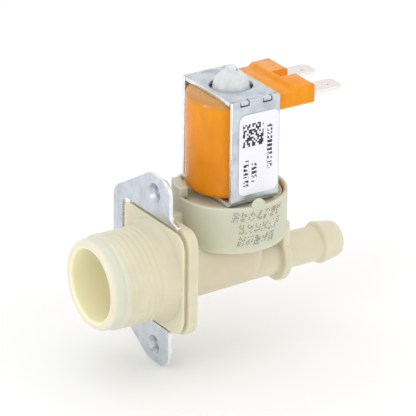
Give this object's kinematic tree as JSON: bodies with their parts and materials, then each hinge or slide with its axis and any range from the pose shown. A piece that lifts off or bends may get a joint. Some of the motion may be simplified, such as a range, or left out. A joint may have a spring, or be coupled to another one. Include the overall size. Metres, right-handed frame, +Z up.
{
  "type": "solenoid valve",
  "caption": "Solenoid water valve: threaded inlet spout with flanges and fork bracket, diaphragm cup, barbed outlet, and a moulded coil in a steel yoke with blade terminals.",
  "frame": {"origin": "on the inlet spout's axis, at the front face of the mounting bracket", "axes": "+X along the inlet axis, with the flow from inlet to outlet; +Z up the coil axis; +Y towards the bracket's closed side"},
  "size_m": [0.0795, 0.037, 0.0823],
  "materials": {
    "body": "moulded natural nylon, satin",
    "clear_plastic": "translucent natural plastic, satin",
    "white_plastic": "moulded off-white plastic",
    "rubber": "moulded black elastomer",
    "zinc_steel": "bright zinc-plated pressed steel",
    "steel": "turned magnetic stainless steel",
    "copper": null,
    "coil_resin": "orange moulded coil resin, semi-gloss",
    "tinned_brass": "tin-plated brass blade",
    "label_film": "pale printed polyester film"
  },
  "bodies": {
    "valve": {"valve_body": "body", "mounting_bracket": "zinc_steel", "inlet_filter": "white_plastic", "flow_regulator_holder": "white_plastic", "flow_regulator_washer": "rubber", "guide_tube": "clear_plastic", "coil_bobbin": "white_plastic", "copper_winding": "copper", "lower_pole_sleeve": "steel", "upper_pole_sleeve": "steel", "coil_jacket": "coil_resin", "terminal_front": "tinned_brass", "terminal_rear": "tinned_brass", "yoke_frame": "zinc_steel", "yoke_top_plate": "zinc_steel", "rating_label": "label_film"},
    "plunger": {"plunger": "steel", "plunger_seal": "rubber", "plunger_spring": "steel"},
    "diaphragm": {"diaphragm_plate": "white_plastic", "diaphragm": "rubber"}
  },
  "joints": [
    {"name": "plunger_lift", "type": "slide", "parent": "valve", "child": "plunger", "axis": [0, 0, 1], "range_m": [0, 0.0022], "stiffness_N_per_m": 150, "springref_m": -0.006, "deforming": ["plunger_spring"]},
    {"name": "diaphragm_lift", "type": "slide", "parent": "valve", "child": "diaphragm", "axis": [0, 0, 1], "range_m": [0, 0.0018], "deforming": ["diaphragm"]}
  ],
  "couplings": [
    {"joint": "diaphragm_lift", "follows": "plunger_lift", "ratio": 0.8}
  ]
}
